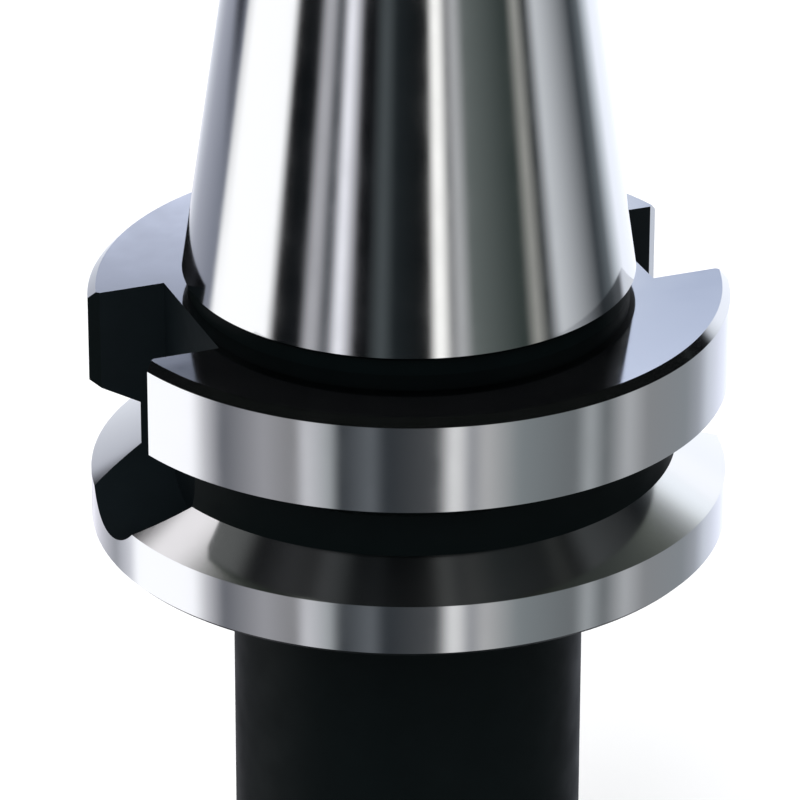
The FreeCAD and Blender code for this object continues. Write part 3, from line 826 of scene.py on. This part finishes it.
@dataclass
class Studio:
    """Floor, lamps, cards and camera.

    Attributes:
        azimuth: Camera's azimuth in degrees, 0 looking along +Y.
        elevation: Camera's elevation in degrees.
        distance: Camera to target in millimetres.
        target_height: Height of the point looked at, in millimetres.
        focal_pixels: Focal length in pixels of the photograph's frame.
        frame_pixels: Width of that frame.
        centre_pixel: Column where the target shows.
        roll: Camera's roll in degrees, its right side up.
        sensor: Width of the camera's sensor in millimetres.
        near_clip: Nearest distance that the camera draws, in millimetres.
        far_clip: Farthest distance that the camera draws, in millimetres.
        steel: Share of light that the ground steel reflects.
        soft_shade: Colour of the even light on matt surfaces, as sRGB hex.
        soft_strength: Strength of that light.
        floor_shade: Colour of the floor, as sRGB hex.
        floor_half: Half of the floor's side in millimetres.
        floor_roughness: Roughness of the floor.
        first_mirrors: Glossy depth, between one and two, above which a ray counts as mirrored twice.
        ceiling_height: Height above which a ray mirrored twice sees only the dark.
        lamps: The soft lamps.
        rings: The rings of cards, from the lowest, which the flange's outside mirrors, up. Then come
            the rings of the taper, of the dark line on its upper left, and of the flange's rear edge,
            rear face (two rings, because the face mirrors a thin stretch of heights) and groove.
            The last two are a streak on the groove's flank and all that stands above it.
    """

    azimuth: float = -21.3
    elevation: float = 25.711
    distance: float = 578.48
    target_height: float = 85.0
    focal_pixels: float = 5844.87
    frame_pixels: float = 800.0
    centre_pixel: float = 408.53
    roll: float = 0.16
    sensor: float = 36.0
    near_clip: float = 10.0
    far_clip: float = 50000.0
    steel: float = 0.65
    soft_shade: str = "#f2f3f5"
    soft_strength: float = 0.8
    floor_shade: str = "#f6f6f6"
    floor_half: float = 3000.0
    floor_roughness: float = 0.9
    first_mirrors: float = 1.5
    ceiling_height: float = 0.45
    lamps: tuple[Lamp, ...] = (
        Lamp("key_lamp", (-500.0, -600.0, 900.0), 700.0, 9.0),
        Lamp("fill_lamp", (700.0, -200.0, 700.0), 700.0, 5.0),
    )
    rings: tuple[Ring, ...] = (
        Ring(-1.0, -1.0, (
            Card(-180, "#8a8a8e"), Card(-166, "#dad9e2"), Card(-133, "#909298"),
            Card(-121, "#c4c5cc"), Card(-115.5, "#fbfcff"), Card(-84, "#fcfcff"),
            Card(-78, "#bcbcc0"), Card(-70, "#5e6066"), Card(-53, "#949498"),
            Card(-41, "#7c7c7e"), Card(-37, "#c2c2c6"), Card(-28, "#969a9c"),
            Card(-24.3, "#303438"), Card(-13, "#5c6064"), Card(-8, "#2c3034"),
            Card(10.6, "#46484a"), Card(15.3, "#d6d6d6"), Card(18.5, "#cacaca"),
            Card(22.2, "#84868a"), Card(27.5, "#aaaaaa"), Card(40, "#767c7e"),
            Card(62, "#64686a"), Card(67.8, "#9a9ea0"), Card(75, "#606466"),
            Card(85, "#a6a8aa"), Card(95, "#808284"), Card(118, "#7e8387"),
            Card(128, "#94989f"), Card(136, "#bcc1cb"), Card(150, "#d2d6e4"),
            Card(165, "#e0e4ee"), Card(174, "#ecf0f4"),
        )),
        Ring(-0.41, -0.35, (
            Card(-180, "#d6dae2"), Card(-145, "#9a9da8"), Card(-117, "#747884"),
            Card(-112, "#ffffff"), Card(-74.4, "#ffffff"), Card(-68.8, "#0a0c0e"),
            Card(-55.4, "#0e1113"), Card(-50.3, "#a8a8ac"), Card(-47, "#a4a4a8"),
            Card(-42.8, "#525458"), Card(-40, "#525458"), Card(-35.6, "#eaeaf0"),
            Card(-33.6, "#e8e8ee"), Card(-26.5, "#0a0c0e"), Card(-21, "#08090b"),
            Card(-13.5, "#484e50"), Card(-7, "#1b2022"), Card(9.8, "#0a0c0d"),
            Card(14, "#fffefa"), Card(16.6, "#fffefa"), Card(21.4, "#727374"),
            Card(26, "#acadae"), Card(32, "#5c6260"), Card(59.6, "#2c3432"),
            Card(66, "#94948f"), Card(73, "#24282a"), Card(81, "#bec1c4"),
            Card(96, "#909396"), Card(112, "#34393d"), Card(121, "#5a6064"),
            Card(130, "#b4bac0"), Card(139, "#e6eaf3"),
        )),
        Ring(-0.268, -0.242, (
            Card(-180, "#ffffff"), Card(-146, "#ffffff"), Card(-140, "#e7e7e7"),
            Card(-135, "#6a6a6c"), Card(-130.5, "#202022"), Card(-126, "#28282a"),
            Card(-122, "#6c6c70"), Card(-119, "#b3b3b4"), Card(-116, "#ededed"),
            Card(-111, "#e7e7e7"), Card(-106, "#ffffff"),
        ), Blend.SHADE),
        Ring(0.24, 0.32, (
            Card(-180, "#d2d9ee"), Card(-173, "#d2d9ee"), Card(-171, DARK_CARD),
            Card(131, DARK_CARD), Card(136, "#e8ecf4"), Card(165, "#f0f2f6"),
            Card(170, "#98a3bb"), Card(177.2, "#98a3bb"), Card(177.6, "#f4f8ff"),
        )),
        Ring(0.412, 0.417, (
            Card(-180, "#747e93"), Card(-173, "#747e93"), Card(-171, DARK_CARD),
            Card(134, "#303434"), Card(143, "#d4dae2"), Card(150, "#e9ecf1"),
            Card(160, DARK_CARD), Card(168, DARK_CARD), Card(171, "#98a3bb"),
        )),
        Ring(0.417, 0.43, (
            Card(-180, DARK_CARD), Card(-175, DARK_CARD), Card(125, "#080a0a"),
            Card(132, "#3c403e"), Card(134.8, "#646866"), Card(136.7, "#787c7e"),
            Card(138.7, "#a4a8aa"), Card(140.6, "#d6dce2"), Card(142.6, "#e4eaf2"),
            Card(150, "#ecf0f4"), Card(160, DARK_CARD), Card(168, DARK_CARD),
            Card(171, "#ccd5ea"),
        )),
        Ring(0.61, 0.68, (
            Card(-180, DARK_CARD), Card(-165, "#dcdadd"), Card(-126, "#e0dee1"),
            Card(-122, "#50544f"), Card(-119, "#2c302e"), Card(-113, "#20241f"),
            Card(-100, "#060807"), Card(100, "#060807"), Card(113, "#20241f"),
            Card(118, "#282c2a"), Card(127, "#383c3a"), Card(131, "#464a46"),
            Card(134, "#5c605c"), Card(136, "#6c706e"), Card(145, DARK_CARD),
        )),
        Ring(0.95, 0.956, (
            Card(-180, "#1e2221"), Card(-120, "#1e2221"), Card(-116, "#80847f"),
            Card(-104, "#80847f"), Card(-100, "#1e2221"),
        )),
        Ring(0.972, 0.977, (
            Card(-180, "#1e2221"),
        )),
    )

    def fill_ramp(self, ramp: bpy.types.ColorRamp, cards: Sequence[Card]) -> None:
        """Write the cards' edges into a colour ramp that runs once round the set.

        Args:
            ramp: The ramp.
            cards: Edges in order of azimuth.
        """
        while len(ramp.elements) > 1:
            ramp.elements.remove(ramp.elements[-1])
        for number, card in enumerate(cards):
            place = (card.azimuth + 180) / 360
            element = ramp.elements[0] if number == 0 else ramp.elements.new(place)
            element.position = place
            element.color = to_linear(card.shade)

    def light_world(self) -> None:
        """Surround the set with cards that only polished metal sees.

        The azimuth from the camera's side is the arc tangent of the direction's two flat parts,
        and it picks the card in each ring. The direction's height picks the ring, and a ring
        covers or shades the one below over a short range of heights. A ray that two surfaces
        have mirrored sees a dark ceiling above a height, so that the taper and the flange's rear
        face show each other no second image of the cards. The camera sees plain white, and matt
        surfaces an even pale light.
        """
        world = bpy.data.worlds.new("studio")
        bpy.context.scene.world = world
        world.use_nodes = True
        tree = world.node_tree
        tree.nodes.clear()
        turn = math.radians(self.azimuth)
        way = add_node(tree, "ShaderNodeTexCoord").outputs["Generated"]
        right = add_node(tree, "ShaderNodeVectorMath", {1: (math.cos(turn), math.sin(turn), 0)}, {0: way},
                         operation="DOT_PRODUCT")
        near = add_node(tree, "ShaderNodeVectorMath", {1: (math.sin(turn), -math.cos(turn), 0)}, {0: way},
                        operation="DOT_PRODUCT")
        angle = add_node(tree, "ShaderNodeMath", operation="ARCTAN2",
                         links={0: right.outputs["Value"], 1: near.outputs["Value"]})
        share = add_node(tree, "ShaderNodeMath", {1: 1 / (2 * math.pi), 2: 0.5}, {0: angle.outputs[0]},
                         operation="MULTIPLY_ADD")
        height = add_node(tree, "ShaderNodeSeparateXYZ", links={0: way}).outputs["Z"]
        cards = None
        for ring in self.rings:
            ramp = add_node(tree, "ShaderNodeValToRGB", links={"Fac": share.outputs[0]})
            self.fill_ramp(ramp.color_ramp, ring.cards)
            if not cards:
                cards = ramp.outputs["Color"]
                continue
            rise = add_node(tree, "ShaderNodeMapRange", {"From Min": ring.start, "From Max": ring.end},
                            {"Value": height})
            mixed = add_node(tree, "ShaderNodeMix", data_type="RGBA", blend_type=ring.blend.value,
                             links={"Factor": rise.outputs["Result"], "A": cards,
                                    "B": ramp.outputs["Color"]})
            cards = mixed.outputs["Result"]
        path = add_node(tree, "ShaderNodeLightPath")
        again = add_node(tree, "ShaderNodeMath", {1: self.first_mirrors}, {0: path.outputs["Glossy Depth"]},
                         operation="GREATER_THAN")
        above = add_node(tree, "ShaderNodeMath", {1: self.ceiling_height}, {0: height},
                         operation="GREATER_THAN")
        ceiling = add_node(tree, "ShaderNodeMath", links={0: again.outputs[0], 1: above.outputs[0]},
                           operation="MULTIPLY")
        cards = add_node(tree, "ShaderNodeMix", {"B": to_linear(DARK_CARD)},
                         {"Factor": ceiling.outputs[0], "A": cards}, data_type="RGBA").outputs["Result"]
        set_light = add_node(tree, "ShaderNodeBackground", {"Strength": 1 / self.steel}, {"Color": cards})
        soft_light = add_node(tree, "ShaderNodeBackground",
                              {"Color": to_linear(self.soft_shade), "Strength": self.soft_strength})
        white = add_node(tree, "ShaderNodeBackground", {"Color": to_linear("#ffffff"), "Strength": 1.0})
        seen = add_node(tree, "ShaderNodeMixShader",
                        links={0: path.outputs["Is Glossy Ray"], 1: soft_light.outputs[0],
                               2: set_light.outputs[0]})
        direct = add_node(tree, "ShaderNodeMath", operation="MAXIMUM",
                          links={0: path.outputs["Is Camera Ray"], 1: path.outputs["Is Transmission Ray"]})
        whole = add_node(tree, "ShaderNodeMixShader",
                         links={0: direct.outputs[0], 1: seen.outputs[0], 2: white.outputs[0]})
        add_node(tree, "ShaderNodeOutputWorld", links={"Surface": whole.outputs[0]})

    def lay_floor(self) -> bpy.types.Object:
        """Lay a wide pale floor under the nut, which polished metal doesn't see.

        Returns:
            The floor.
        """
        signs = np.array([[-1, -1, 0], [1, -1, 0], [1, 1, 0], [-1, 1, 0]])
        mesh = to_mesh("floor", signs * self.floor_half * MILLIMETRE, [[0, 1, 2, 3]], np.array([0]))
        material = bpy.data.materials.new("pale_floor")
        material.use_nodes = True
        tree = material.node_tree
        shader = tree.nodes["Principled BSDF"]
        shader.inputs["Base Color"].default_value = to_linear(self.floor_shade)
        shader.inputs["Roughness"].default_value = self.floor_roughness
        shader.inputs["Specular IOR Level"].default_value = 0.0
        mesh.materials.append(material)
        floor = add_object(mesh, "floor")
        floor.visible_glossy = False
        return floor

    def hang_lamp(self, lamp: Lamp) -> None:
        """Hang a lamp and point it at the target.

        Args:
            lamp: The lamp.
        """
        light = bpy.data.lights.new(lamp.name, "AREA")
        light.size = lamp.size * MILLIMETRE
        light.energy = lamp.power
        item = bpy.data.objects.new(lamp.name, light)
        bpy.context.scene.collection.objects.link(item)
        spot = np.array(lamp.place) * MILLIMETRE
        aim = np.array([0, 0, self.target_height * MILLIMETRE]) - spot
        item.location = spot
        item.rotation_mode = "QUATERNION"
        item.rotation_quaternion = Vector(aim).to_track_quat("-Z", "Y")
        item.visible_glossy = False

    def place_camera(self) -> None:
        """Stand the camera where the photograph was taken from."""
        data = bpy.data.cameras.new("camera")
        data.sensor_width = self.sensor
        data.lens = self.focal_pixels / self.frame_pixels * self.sensor
        data.shift_x = 0.5 - self.centre_pixel / self.frame_pixels
        data.clip_start = self.near_clip * MILLIMETRE
        data.clip_end = self.far_clip * MILLIMETRE
        camera = bpy.data.objects.new("camera", data)
        bpy.context.scene.collection.objects.link(camera)
        turn, rise = math.radians(self.azimuth), math.radians(self.elevation)
        flat = math.cos(rise)
        back = Vector((math.sin(turn) * flat, -math.cos(turn) * flat, math.sin(rise)))
        target = Vector((0, 0, self.target_height * MILLIMETRE))
        camera.location = target + back * self.distance * MILLIMETRE
        camera.rotation_mode = "QUATERNION"
        level = (-back).to_track_quat("-Z", "Y")
        camera.rotation_quaternion = level @ Quaternion((0, 0, 1), math.radians(self.roll))
        bpy.context.scene.camera = camera

    def build(self) -> None:
        """Set up the whole studio."""
        self.light_world()
        self.lay_floor()
        for lamp in self.lamps:
            self.hang_lamp(lamp)
        self.place_camera()
        bpy.context.scene.view_settings.view_transform = "Standard"
        log.info("studio: %d rings of cards, %d lamps", len(self.rings), len(self.lamps))


def main() -> None:
    """Build every piece and the studio in order."""
    HolderBody().build()
    ClampingNut().build()
    dress_node("collet", COLLET_STEEL)
    dress_node("stop_screw", SCREW_STEEL)
    Studio().build()


if __name__ == "__main__":
    main()
